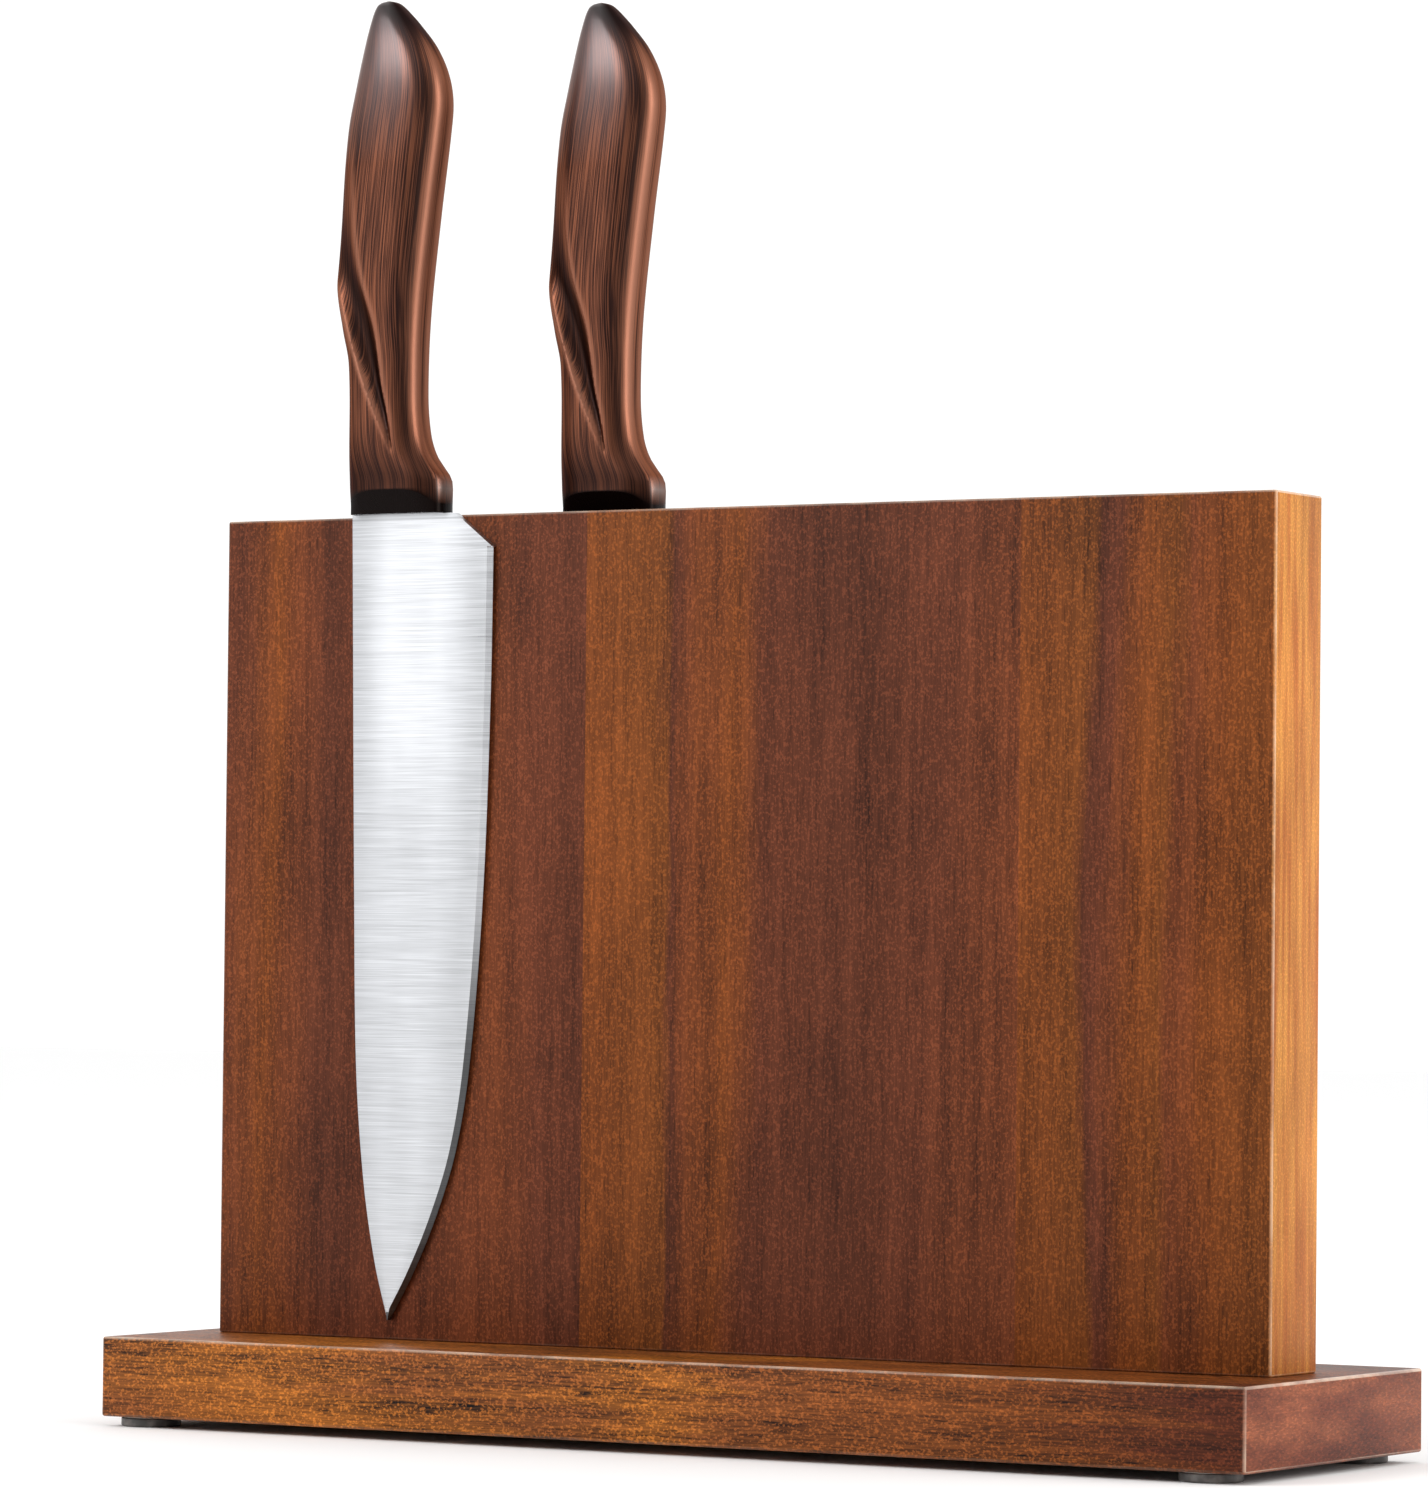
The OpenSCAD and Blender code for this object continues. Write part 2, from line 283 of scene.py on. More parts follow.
def grid_sheet(name, size, steps):
    """A flat square sheet, centred on the origin."""
    shape = bmesh.new()
    bmesh.ops.create_grid(shape, x_segments=steps, y_segments=steps, size=size / 2)
    mesh = bpy.data.meshes.new(name)
    shape.to_mesh(mesh)
    shape.free()
    sheet = bpy.data.objects.new(name, mesh)
    bpy.context.scene.collection.objects.link(sheet)
    return sheet


def studio_world():
    """White behind and above the object, dimmer low down on the camera's side."""
    world = bpy.data.worlds.new("studio")
    world.use_nodes = True
    room = Nodes(world.node_tree, "OutputWorld")
    direction = room.node("TexCoord", (), (), "Generated")
    toward = room.node("VectorMath", {"operation": "DOT_PRODUCT"},
                       {0: direction, 1: BRIGHT_SIDE}, "Value")
    strength = room.node("MapRange", {"interpolation_type": "SMOOTHSTEP"}, {
        "Value": toward, "From Min": DARKEST_AT, "From Max": BRIGHTEST_AT,
        "To Min": DARKEST, "To Max": BRIGHTEST})
    room.show(room.node("Background", (), {"Color": (1, 1, 1, 1), "Strength": strength}))
    return world


floor = grid_sheet("floor", FLOOR_SIZE, 8)
paper = Finish("white_paper")
floor.data.materials.append(paper.surface({
    "Base Color": (PAPER_WHITE, PAPER_WHITE, PAPER_WHITE, 1), "Roughness": 0.9}))
bpy.context.scene.world = studio_world()
bpy.context.scene.view_settings.view_transform = "Standard"
print("floor is", FLOOR_SIZE, "m across")

# %% [markdown]
# ## The lights
# Three large panels stand in the room. One in front on the left is what the flat blade
# mirrors. One on the right rakes the board's end and makes it the brightest wood. A smaller
# one higher on the left adds a sheen to the upper part of the handles. Small lamps would be
# simpler, but their reflections would be hard dots.

# %% Lights
MIDDLE = (0, 0, 0.15)
WARM = (1, 0.97, 0.93)


def soft_panel(name, place, width, height, power, tint=(1, 1, 1)):
    """A rectangular area light at a place, turned to face the rack's middle."""
    data = bpy.data.lights.new(name, "AREA")
    data.shape = "RECTANGLE"
    data.size = width
    data.size_y = height
    data.energy = power
    data.color = tint
    lamp = bpy.data.objects.new(name, data)
    lamp.location = place
    facing = Vector(MIDDLE) - Vector(place)
    lamp.rotation_euler = facing.to_track_quat("-Z", "Y").to_euler()
    bpy.context.scene.collection.objects.link(lamp)
    print(name, "is", round(facing.length, 2), "m away")


soft_panel("front_left_panel", (-1.35, -2.1, 0.75), 1.7, 1.5, 6.5)
soft_panel("right_panel", (1.8, 0.3, 0.75), 0.8, 1.3, 15, WARM)
soft_panel("upper_left_panel", (-1.0, -1.7, 1.35), 0.85, 0.75, 16)

# %% [markdown]
# ## The wood
# The rack is stained hardwood under a thin lacquer. A printed grain could be wrapped round it,
# but noise in real millimetres fits any piece and has no edges. The grain is built up from the
# large to the small. A colour ramp places broad lighter and darker bands. Streaks, fibres and
# short dark pores are the same noise stretched along the grain by different amounts. A scatter
# of crisp light specks is the sparkle of pores under lacquer.

# %% Stained wood
STREAK = (300, 300, 10)
FIBRE = (1900, 1900, 90)
PORE = (2300, 2300, 200)
FLECK = (2000, 2000, 1500)
SHIMMER = (34, 34, 20)
# The next constant's patches vary how strong the pale wear and painted highlight on eased edges
# are.
WEAR_AND_HIGHLIGHT_PATCHES = (90, 90, 90)
WOOD_TONE = 0.96
# The pale colour of eased edges: partly worn lacquer, mostly a painted highlight.
PALE_EDGE_AND_HIGHLIGHT = rgb(236, 210, 184)


def turned(factors, grain):
    """Stretch factors given for upright grain, turned so that the grain runs another way."""
    across, deep, along_grain = factors
    return {"up": (across, deep, along_grain), "long": (along_grain, deep, across)}[grain]


def lit_end_wood(finish, place, end_at, colours, scale):
    """The colour of the face that ends a piece at end_at, paler as painted light from the right,
    and 1 on that face only.
    """
    tone = cloudy(finish, stretched(finish, place, scale), 3.0)
    colour = mixed(finish, colours[0], colours[1], between(finish, tone, 0.3, 0.7))
    x = finish.node("SeparateXYZ", (), {0: place}, "X")
    return colour, between(finish, x, end_at - 0.8 * MM, end_at - 0.2 * MM)


def wood(name, grain, ramp_at, stops, end, strengths, flatness, sheen):
    """Lacquered wood. ramp_at gives the value that the ramp of stops reads, end describes
    the face at the piece's right end with its paler colours of painted light, strengths are
    those of streaks, fibres, pores and specks, and a low flatness draws the grain out in depth.
    Eased edges mix in a pale colour that is partly wear and mostly a painted highlight."""
    finish = Finish(name)
    place = place_of(finish)
    streak, fibre, pore, fleck = strengths

    def layer(factors, detail=2.0):
        across, deep, along_grain = factors
        flat = turned((across, deep * flatness, along_grain), grain)
        return cloudy(finish, stretched(finish, place, flat), detail)

    face = finish.node("ValToRGB", {"stops": stops}, {"Fac": ramp_at(finish, place)})
    streaks = layer(STREAK, 3.0)
    fibres = layer(FIBRE)
    pores = between(finish, layer(PORE, 1.0), 0.6, 0.7)
    flecks = layer(FLECK, 1.0)
    sparkle = between(finish, flecks, 0.5, 0.66)
    shimmer = layer(SHIMMER, 1.0)
    # The right end face takes its paler colour of painted light.
    lit_end_colour, is_end = lit_end_wood(finish, place, *end)
    grain_tone = streak * (streaks - 0.5) + fibre * (fibres - 0.5) - pore * pores
    tone = (WOOD_TONE + (1 - 0.5 * is_end) * (grain_tone + fleck * (sparkle - 0.3))
            + 0.7 * (shimmer - 0.5))
    colour = shaded(finish, mixed(finish, face, lit_end_colour, is_end), tone)
    # Eased edges carry their amount of pale wear and painted highlight, and the base colour mixes
    # in the pale colour by it.
    edge_wear_and_highlight = mesh_value(finish, "eased")
    patchy_wear_and_highlight = between(finish, cloudy(finish, stretched(finish, place, WEAR_AND_HIGHLIGHT_PATCHES), 3.0), 0.35, 0.7)
    skin = 0.5 * fibres - 0.6 * pores + 0.35 * flecks
    return finish.surface({
        "Base Color": mixed(finish, colour, PALE_EDGE_AND_HIGHLIGHT, (0.2 + 0.4 * patchy_wear_and_highlight) * edge_wear_and_highlight),
        "Roughness": 0.36 + 0.14 * fibres + 0.1 * pores,
        "Normal": bumped(finish, skin, 0.3),
        "Specular IOR Level": sheen,
        "Coat Weight": 0.8 * edge_wear_and_highlight,
        "Coat Roughness": 0.25})


print("fibres are about", round(1 / FIBRE[2] / MM), "mm long")

# %% [markdown]
# ## The board's bands
# Three staves of different trees' wood are glued edge to edge, and their bands stop at the
# seams. Stripes of geometry would have hard sides, so a colour ramp goes from each stave's
# left edge to its right edge. The bands sway a little on their way up, because no tree grows
# straight. The sawn end gets a much paler colour: painted light from the panel on the right.

# %% Bands across each stave
BARK_RED = rgb(98, 50, 30)
DEEP_RED = rgb(90, 46, 28)
RUSSET = rgb(108, 55, 28)
AMBER = rgb(120, 62, 24)
OCHRE = rgb(117, 63, 24)
# The two golden colours below are painted light: the board's sawn end, lit by the panel on the
# right.
LIT_END_GOLD = rgb(202, 136, 64)
LIT_END_DEEP_GOLD = rgb(166, 94, 44)
SWAY = (24, 24, 5)
RIPPLE = (160, 160, 12)
BOARD_GRAIN = (0.9, 1.0, 0.2, 0.6)
BOARD_END = (BOARD_HIGH.x, (LIT_END_GOLD, LIT_END_DEEP_GOLD), (60, 320, 16))


def across_stave(low, high):
    """0 at a stave's left edge, 1 at its right edge, swaying along the grain."""
    def value(finish, place):
        x = finish.node("SeparateXYZ", (), {0: place}, "X")
        sway = cloudy(finish, stretched(finish, place, SWAY), 1.0)
        ripple = cloudy(finish, stretched(finish, place, RIPPLE), 2.0)
        return (x + 0.026 * (sway - 0.5) + 0.012 * (ripple - 0.5) - low) * (1 / (high - low))
    return value


def stave_wood(part, low, high, stops):
    return wood(part + "_stave_wood", "up", across_stave(low, high), stops, BOARD_END,
                BOARD_GRAIN, flatness=1.0, sheen=0.1)


stave_woods = {
    "left": stave_wood("left", BOARD_LOW.x, LEFT_SEAM, [
        (0.0, BARK_RED), (0.12, AMBER), (0.2, RUSSET), (0.32, DEEP_RED), (0.5, BARK_RED),
        (0.75, RUSSET), (0.86, BARK_RED), (1.0, DEEP_RED)]),
    "middle": stave_wood("middle", LEFT_SEAM, RIGHT_SEAM, [
        (0.0, AMBER), (0.17, OCHRE), (0.19, DEEP_RED), (0.215, RUSSET), (0.32, AMBER),
        (0.42, BARK_RED), (0.6, DEEP_RED), (0.82, BARK_RED), (1.0, RUSSET)]),
    "right": stave_wood("right", RIGHT_SEAM, BOARD_HIGH.x, [
        (0.0, AMBER), (0.24, OCHRE), (0.28, DEEP_RED), (0.33, BARK_RED), (0.45, AMBER),
        (0.6, OCHRE), (0.68, RUSSET), (0.82, AMBER), (1.0, OCHRE)])}
print("stave widths:", [round(width / MM) for width in (
    LEFT_SEAM - BOARD_LOW.x, RIGHT_SEAM - LEFT_SEAM, BOARD_HIGH.x - RIGHT_SEAM)], "mm")

# %% [markdown]
# ## Eased edges
# A joiner runs sandpaper along each outer edge, which leaves a radius of a little over half a
# millimetre. A bevel modifier would also round the seams and the hidden holes, so only the
# edges on the outside of the whole block are picked. The new faces carry a value for the
# finish to read: a little pale wear all round, and a painted highlight that is strongest on
# top, less at the right end, and hardly there below, as the light falls.

# %% Ease the outer edges of a block
# How much painted highlight eased edges get when they face up or to the right, and the least that
# any eased edge gets.
HIGHLIGHT_TOP = 1.1
HIGHLIGHT_RIGHT = 0.75
WEAR_LEAST = 0.1
WOOD_CREASE = 35


def outer_edge(edge, low, high, reach=0.02 * MM):
    """True for an edge that lies along one of the twelve edges of a box."""
    faces_met = 0
    for axis in range(3):
        ends = [v.co[axis] for v in edge.verts]
        for wall in (low[axis], high[axis]):
            faces_met += all(abs(end - wall) < reach for end in ends)
    return faces_met == 2


def finished_piece(shape, name, crease):
    """Turns a bmesh into an object that is smooth up to a crease angle in degrees."""
    mesh = bpy.data.meshes.new(name)
    shape.to_mesh(mesh)
    shape.free()
    mesh.polygons.foreach_set("use_smooth", [True] * len(mesh.polygons))
    mesh.set_sharp_from_angle(angle=math.radians(crease))
    piece = bpy.data.objects.new(name, mesh)
    bpy.context.scene.collection.objects.link(piece)
    return piece


def eased(node, low, high, radius, finish):
    """A copy of a model's wooden piece with its outer edges rounded and marked for pale wear and
    a painted highlight.
    """
    shape = bmesh.new()
    shape.from_mesh(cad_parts[node].data)
    bmesh.ops.remove_doubles(shape, verts=shape.verts, dist=0.002 * MM)
    bmesh.ops.dissolve_limit(shape, angle_limit=math.radians(1), verts=shape.verts,
                             edges=shape.edges)
    edges = [e for e in shape.edges if outer_edge(e, low, high)]
    marks = shape.faces.layers.float.new("eased")
    rounding = bmesh.ops.bevel(shape, geom=edges, offset=radius, segments=5, profile=0.5,
                               affect="EDGES", clamp_overlap=False)
    for face in rounding["faces"]:
        face.normal_update()
        # Painted highlight: more on edges that face up or to the right, towards the light.
        worn = HIGHLIGHT_RIGHT * face.normal.x + HIGHLIGHT_TOP * face.normal.z
        face[marks] = min(1, max(WEAR_LEAST, worn))
    bmesh.ops.recalc_face_normals(shape, faces=shape.faces)
    piece = finished_piece(shape, node + "_wood", WOOD_CREASE)
    piece.data.materials.append(finish)
    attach(piece, "rack")
    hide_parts(node)
    print(node, "edges eased:", len(edges))
    return piece


print("wear on top and at the right end:", min(1, HIGHLIGHT_TOP), HIGHLIGHT_RIGHT)

# %% [markdown]
# ## The board
# The board is two plies of three staves with the magnets between them, so six pieces are
# eased. All of them measure themselves against the whole board, which keeps the glued seams
# sharp and rounds only what a hand can touch.

# %% Board staves
BOARD_EASE = 0.6 * MM
for side in ("front", "back"):
    for part, finish in stave_woods.items():
        stave = eased(f"{side}_stave_{part}", BOARD_LOW, BOARD_HIGH, BOARD_EASE, finish)
        "stave_wood_" + part
print("board height:", round((BOARD_HIGH.z - BOARD_LOW.z) / MM), "mm")

# %% [markdown]
# ## The base plank
# One plank with its grain lying along it. It could share the board's finish turned on its
# side, but its growth layers lie nearly flat, so its streaks are thin in height and long both
# ways across. Its golden wood darkens towards the right end, which the ramp follows.

# %% Base plank
HONEY = rgb(154, 90, 30)
TOFFEE = rgb(126, 70, 30)
WALNUT = rgb(114, 60, 22)
MAHOGANY = rgb(76, 34, 16)
# The two rose colours below are painted light: the plank's right end, lit by the panel on the
# right.
LIT_END_ROSE = rgb(140, 78, 50)
LIT_END_DEEP_ROSE = rgb(98, 48, 32)
DRIFT = (9, 30, 60)
LAYER = (10, 60, 330)
BASE_GRAIN = (1.5, 2.1, 0.3, 0.95)
BASE_END = (BASE_HIGH.x, (LIT_END_ROSE, LIT_END_DEEP_ROSE), (20, 30, 110))
BASE_EASE = 0.7 * MM
PLANK_L = BASE_HIGH.x - BASE_LOW.x


def along_plank(finish, place):
    """0 at the plank's left end, 1 at its right end, with drifting cloudy bands."""
    x = finish.node("SeparateXYZ", (), {0: place}, "X")
    drift = cloudy(finish, stretched(finish, place, DRIFT), 2.0)
    layers = cloudy(finish, stretched(finish, place, LAYER), 2.0)
    return (x - BASE_LOW.x) * (1 / PLANK_L) + 0.5 * (drift - 0.5) + 0.3 * (layers - 0.5)


base_wood = wood("base_wood", "long", along_plank, [
    (0.0, TOFFEE), (0.18, HONEY), (0.35, TOFFEE), (0.5, HONEY), (0.62, TOFFEE),
    (0.86, WALNUT), (1.0, MAHOGANY)], BASE_END, BASE_GRAIN, flatness=0.3, sheen=0.15)
plank = eased("base_plank", BASE_LOW, BASE_HIGH, BASE_EASE, base_wood)
print("plank length:", round(PLANK_L / MM), "mm")

# %% [markdown]
# ## Turned parts
# Feet and the discs that hold them are round. A cylinder with a bevel would give every rim
# one radius, but a foot's rim is rounder below than above. So each part is drawn as half a
# profile, in points of radius and height, and swept round an upright axis.

# %% Sweep a profile round an axis
TURNS = 72
TURNED_CREASE = 40


def turned_piece(name, profile, centres):
    """Sweeps (radius, height) points round each centre. Radii of 0 close the ends."""
    shape = bmesh.new()
    for centre in centres:
        rings = []
        for radius, height in profile:
            count = TURNS if radius > 0 else 1
            rings.append([shape.verts.new((
                centre[0] + radius * math.cos(2 * math.pi * k / TURNS),
                centre[1] + radius * math.sin(2 * math.pi * k / TURNS), height))
                for k in range(count)])
        for low, high in zip(rings, rings[1:]):
            for k in range(TURNS):
                after = (k + 1) % TURNS
                corners = [low[k % len(low)], low[after % len(low)],
                           high[after % len(high)], high[k % len(high)]]
                shape.faces.new(list(dict.fromkeys(corners)))
    bmesh.ops.recalc_face_normals(shape, faces=shape.faces)
    return finished_piece(shape, name, TURNED_CREASE)


def quarter_round(centre_r, centre_z, radius, start, end, steps=5):
    """Points of a profile's arc, angles in degrees from straight out."""
    turns = [math.radians(start + (end - start) * k / steps) for k in range(steps + 1)]
    return [(centre_r + radius * math.cos(turn), centre_z + radius * math.sin(turn))
            for turn in turns]


print("a rounded corner has", len(quarter_round(0, 0, 1, 0, 90)), "points")

# %% [markdown]
# ## Rubber feet
# Dark grey rubber is never quite black: it picks up dust and a soft sheen. One flat grey would
# look like plastic, so cloudy noise makes some patches dustier and duller, and a fine grain in
# the bump breaks up the sheen.

# %% Feet
RUBBER = rgb(60, 57, 55)
DUST = rgb(112, 106, 102)
FOOT_RIM = 0.55 * MM


def rubber():
    finish = Finish("foot_rubber")
    place = place_of(finish)
    grain = cloudy(finish, stretched(finish, place, (2600, 2600, 2600)), 2.0)
    dust = cloudy(finish, stretched(finish, place, (260, 260, 260)), 3.0)
    return finish.surface({
        "Base Color": mixed(finish, RUBBER, DUST, between(finish, dust, 0.4, 0.75)),
        "Roughness": 0.32 + 0.25 * dust,
        "Normal": bumped(finish, grain, 0.25)})


foot_rubber = rubber()
foot_centres = []
for row in ("front", "back"):
    for end in ("left", "right"):
        node = f"foot_{row}_{end}"
        low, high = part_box(node)
        centre = (low + high) / 2
        foot_centres.append(centre)
        radius = (high.x - low.x) / 2
        top_rim = FOOT_RIM / 2
        profile = ([(0, low.z)]
                   + quarter_round(radius - FOOT_RIM, low.z + FOOT_RIM, FOOT_RIM, -90, 0)
                   + quarter_round(radius - top_rim, high.z - top_rim, top_rim, 0, 90)
                   + [(0, high.z)])
        foot = turned_piece(node + "_rubber", profile, [centre])
        foot.data.materials.append(foot_rubber)
        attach(foot, "rack")
        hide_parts(node)
print("feet at", [tuple(round(v / MM) for v in c.xy) for c in foot_centres])

# %% [markdown]
# ## Adhesive discs
# A thin disc of pale foam tape holds each foot. Four separate discs would do, but the model
# counts them as one piece. So one sweep makes them all, and fine noise stands for the foam's
# cells.

# %% Adhesive discs
FOAM = rgb(206, 204, 196)
PALE_FOAM = rgb(226, 224, 216)


def adhesive():
    finish = Finish("adhesive_foam")
    cells = cloudy(finish, stretched(finish, place_of(finish), (3000, 3000, 3000)), 2.0)
    return finish.surface({
        "Base Color": mixed(finish, FOAM, PALE_FOAM, cells),
        "Roughness": 0.7,
        "Normal": bumped(finish, cells, 0.3)})


low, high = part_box("foot_adhesive_discs")
disc_r = foot_centres[0].x - low.x
discs = turned_piece("adhesive_discs", [(0, low.z), (disc_r, low.z), (disc_r, high.z),
                                        (0, high.z)], foot_centres)
discs.data.materials.append(adhesive())
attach(discs, "rack")
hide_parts("foot_adhesive_discs")
print("disc radius:", round(disc_r / MM, 1), "mm")

# %% [markdown]
# ## Smooth outlines from a few stations
# Blade and handle are described by short tables: a place along the knife and a value there.
# Blender's own curves could carry such outlines, but a formula gives its value anywhere, for
# the shape and later for the values that a finish reads. Each span between two stations is a
# cubic whose slopes come from the stations on either side.

# %% Curves through stations
def along(table, at):
    """The value at each place on the smooth curve through a table's stations."""
    places, values = np.array(table, float).T
    index = np.arange(len(places))
    before = np.maximum(index - 1, 0)
    after = np.minimum(index + 1, len(places) - 1)
    slopes = (values[after] - values[before]) / (places[after] - places[before])
    at = np.clip(np.asarray(at, float), places[0], places[-1])
    span = np.clip(np.searchsorted(places, at, "right") - 1, 0, len(places) - 2)
    width = places[span + 1] - places[span]
    t = (at - places[span]) / width
    return ((2 * t**3 - 3 * t**2 + 1) * values[span]
            + (t**3 - 2 * t**2 + t) * width * slopes[span]
            + (3 * t**2 - 2 * t**3) * values[span + 1]
            + (t**3 - t**2) * width * slopes[span + 1])


print("between stations 0 and 1 mm high:", float(along([(0, 0), (10, 1)], 5)), "mm")

# %% [markdown]
# ## The blades
# A blade is a flat steel plate with a straight blunt heel and a narrow ground bevel along its
# edge on both sides. It could be cut from a plate with booleans, but the section at each place
# down the blade has the same corners. So it is lofted through them, which keeps the bevel's
# line crisp from heel to tip.

# %% Loft and blade shape
SPINE = [(0, 0), (97, 1.8), (140, 3), (168, 5.6), (188, 9.2), (BLADE_L, 13.2)]
EDGE = [(8.6, 42), (47, 41.6), (97, 39.9), (139, 36.4), (160, 32.6), (176, 27.1),
        (190, 20.6), (BLADE_L, 13.5)]
HEEL_X = 31
HEEL_DROP = 8.6
BEVEL = 1.3
KEEN = 0.15
SPINE_EASE = 0.25
TANG_X = 5
TANG_W = 10
TANG_L = 40
BLADE_RINGS = 110


def loft(rings):
    """A closed bmesh through rings of points in mm, each end fanned to its middle."""
    sides = rings.shape[1]
    shape = bmesh.new()
    verts = [[shape.verts.new(p * MM) for p in ring] for ring in rings]
    for low, high in zip(verts, verts[1:]):
        for k in range(sides):
            after = (k + 1) % sides
            shape.faces.new((low[k], low[after], high[after], high[k]))
    for ring in (verts[0], verts[-1]):
        middle = shape.verts.new(sum((v.co for v in ring), Vector()) / sides)
        for k in range(sides):
            shape.faces.new((ring[k], ring[(k + 1) % sides], middle))
    bmesh.ops.recalc_face_normals(shape, faces=shape.faces)
    return shape


def blade_section(drop, sharp):
    """The corners of the blade's section, a distance below the handle."""
    half = BLADE_T / 2
    spine = float(along(SPINE, drop))
    slope = (EDGE[0][1] - HEEL_X) / HEEL_DROP
    edge = HEEL_X + slope * drop if drop <= HEEL_DROP else float(along(EDGE, drop))
    bevel = min(BEVEL, (edge - spine) * 0.45)
    ease = min(SPINE_EASE, (edge - spine) * 0.2)
    keen = KEEN / 2 if sharp else half
    front = [(spine, -half + ease), (spine + ease * 0.3, -half + ease * 0.3),
             (spine + ease, -half), (edge - bevel, -half), (edge, -keen)]
    return [(x, y, -drop) for x, y in front] + [(x, -y, -drop) for x, y in front[::-1]]


def tang_section(rise):
    """The tang's section, with as many corners as the blade's."""
    half = BLADE_T / 2
    front = [(TANG_X + TANG_W * k / 4, -half) for k in range(5)]
    return [(x, y, rise) for x, y in front] + [(x, -y, rise) for x, y in front[::-1]]


def blade_shape():
    start = HEEL_DROP + 0.25
    quarter_turn = np.linspace(0, math.pi / 2, BLADE_RINGS)
    drops = start + (BLADE_L - start) * np.sin(quarter_turn)
    rings = [tang_section(TANG_L), tang_section(0), blade_section(0, False),
             blade_section(HEEL_DROP, False)]
    rings += [blade_section(drop, True) for drop in drops]
    return loft(np.array(rings))


print("corners in a section:", len(blade_section(0, False)))

# %% [markdown]
# ## Ground steel
# The blade is finished on a belt that runs across it, which leaves thousands of parallel
# scratches. Noise that is long across the blade and very short down it makes them. They show
# in the roughness, in the colour, and in a slight bump that smears reflections. Broader noise
# adds bands and haze. A painted reflection makes the middle of the blade brighter than its
# borders, most of all near the handle, and a painted shadow line lies just below the handle.
# The bevel's colour carries a painted reflection too: brighter than the flat near the handle,
# darker near the tip.

# %% Blade steel
STEEL = rgb(249, 251, 255)
SCRATCH = (50, 50, 5200)
BELT_BAND = (45, 45, 1900)
HAZE = (70, 70, 28)
SCRATCH_DEPTH = 0.03 * MM
STEEL_TONE = 0.51
# Where the painted reflections fade, in mm down the blade: the bright one near the handle, and
# the bevel's turn from brighter to darker towards the tip.
HEEL_REFLECTION_FADE = (45, 95)
TIP_FADE = (70, 140)


def blade_steel():
    finish = Finish("blade_steel")
    place = place_of(finish)
    scratches = cloudy(finish, stretched(finish, place, SCRATCH), 2.0, 0.6)
    bands = cloudy(finish, stretched(finish, place, BELT_BAND), 2.0, 0.5)
    haze = cloudy(finish, stretched(finish, place, HAZE), 2.0)
    across = mesh_value(finish, "across")
    drop = mesh_value(finish, "drop")
    bevel = mesh_value(finish, "bevel")
    # Painted reflection: the middle of the blade brighter than its borders, most near the handle.
    # Painted shadow: a thin dark line just below the handle.
    middle_reflection = between(finish, across, 0.0, 0.3) * between(finish, 1 - across, 0.05, 0.4)
    heel_reflection = 1 - between(finish, drop, *HEEL_REFLECTION_FADE)
    shadow_line = between(finish, drop, 0.9, 1.2) * (1 - between(finish, drop, 1.4, 1.7))
    tone = (STEEL_TONE + 0.46 * (scratches - 0.5) + 0.14 * (bands - 0.5) + 0.08 * middle_reflection
            + 0.12 * heel_reflection * middle_reflection + 0.14 * (haze - 0.5) - 0.14 * shadow_line)
    to_tip = between(finish, drop, *TIP_FADE)
    # The bevel's painted reflection: brighter than the flat near the handle, darker near the tip.
    ground = tone * (1 + bevel * (0.6 - 1.4 * to_tip))
    return finish.surface({
        "Base Color": shaded(finish, STEEL, ground),
        "Metallic": 1.0,
        "Roughness": 0.22 + 0.14 * scratches + 0.08 * bands,
        "Normal": bumped(finish, scratches + 0.5 * bands, 0.1, SCRATCH_DEPTH)})


steel = blade_steel()
print("a scratch is about", round(1 / SCRATCH[2] / MM, 2), "mm wide")

# %% [markdown]
# ## Placing the blades
# The steel has to know how far across and down the blade it lies. That could be worked out
# in the finish, but the mesh already knows its own outline. So its points carry the two
# distances, and its faces carry 1 on the bevel.

# %% Blades on their knives
BLADE_CREASE = 12


def add_values(mesh, name, values, domain="POINT"):
    mesh.attributes.new(name, "FLOAT", domain).data.foreach_set(
        "value", np.ravel(values).astype(np.float32))


def blade_piece(name):
    """The blade. Its points carry how far across and down it they lie, its faces the bevel."""
    piece = finished_piece(blade_shape(), name, BLADE_CREASE)
    points = np.array([v.co for v in piece.data.vertices]) / MM
    drop = -points[:, 2]
    spine = along(SPINE, drop)
    edge = np.maximum(along(EDGE, drop), spine + 0.5)
    add_values(piece.data, "across", (points[:, 0] - spine) / (edge - spine))
    add_values(piece.data, "drop", drop)
    centres = np.array([face.center for face in piece.data.polygons]) / MM
    ground = centres[:, 0] > along(EDGE, -centres[:, 2]) - BEVEL
    add_values(piece.data, "bevel", ground & (centres[:, 2] < -HEEL_DROP), "FACE")
    return piece


for side in ("front", "back"):
    blade = blade_piece(side + "_blade_steel")
    blade.data.transform(Matrix.Translation(knife_origin(side)))
    blade.data.materials.append(steel)
    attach(blade, side + "_knife")
    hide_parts(side + "_blade")
    print(blade.name, "faces:", len(blade.data.polygons))

# %% [markdown]
# ## The handles
# Each handle is a rounded box in section that swells and narrows along its length. A valley
# winds from the spine side down across each face between two ridges, as if the handle had
# been twisted, and a shallow flute runs beside the rounded corner on the edge side. Sculpting
# by hand could make it, but all of it is a formula here, so the mesh can be as fine as the
# light needs.

